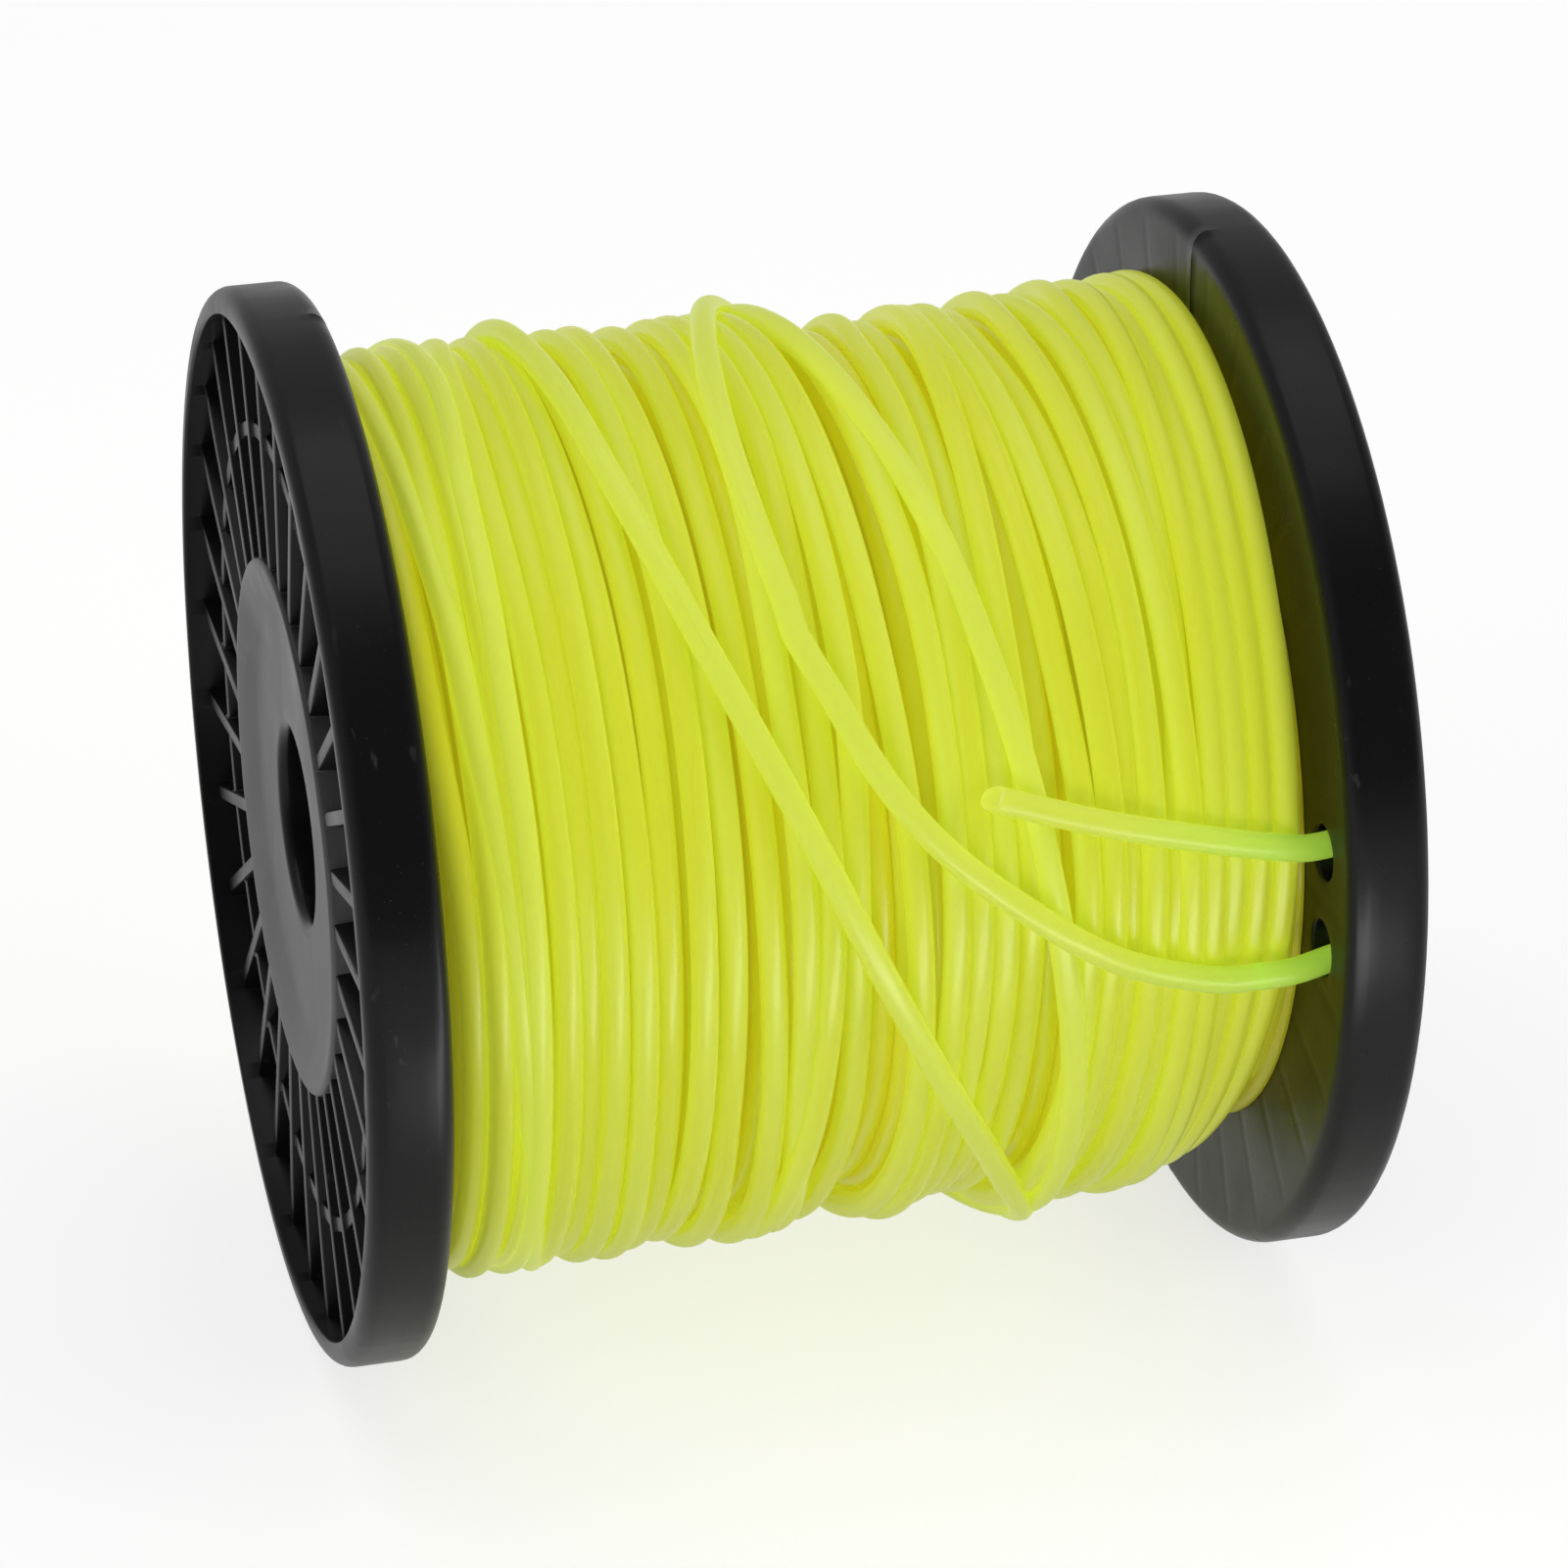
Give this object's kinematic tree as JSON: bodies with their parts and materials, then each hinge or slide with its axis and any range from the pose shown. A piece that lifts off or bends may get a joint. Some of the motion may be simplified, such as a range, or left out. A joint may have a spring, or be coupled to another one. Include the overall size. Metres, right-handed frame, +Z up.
{
  "type": "string reel",
  "caption": "Moulded spool with two ribbed flanges and a spindle bore, wound full of thick round trimmer line whose cut end is tucked through two holes.",
  "frame": {"origin": "on the surface that the two rims stand on, below the middle of the spool's axis", "axes": "+X along the spool's axis, towards the flange that holds the line's end; +Z up; the line's end is on the -Y side"},
  "size_m": [0.105, 0.11, 0.11],
  "materials": {
    "spool": "satin black moulded plastic",
    "line": "translucent fluorescent yellow-green extruded line, semi-gloss"
  },
  "bodies": {
    "root": {"left_flange": "spool", "right_flange": "spool", "barrel": "spool", "spindle_sleeve": "spool", "inner_layers": "line", "outer_layer": "line", "line_end": "line"}
  },
  "joints": []
}
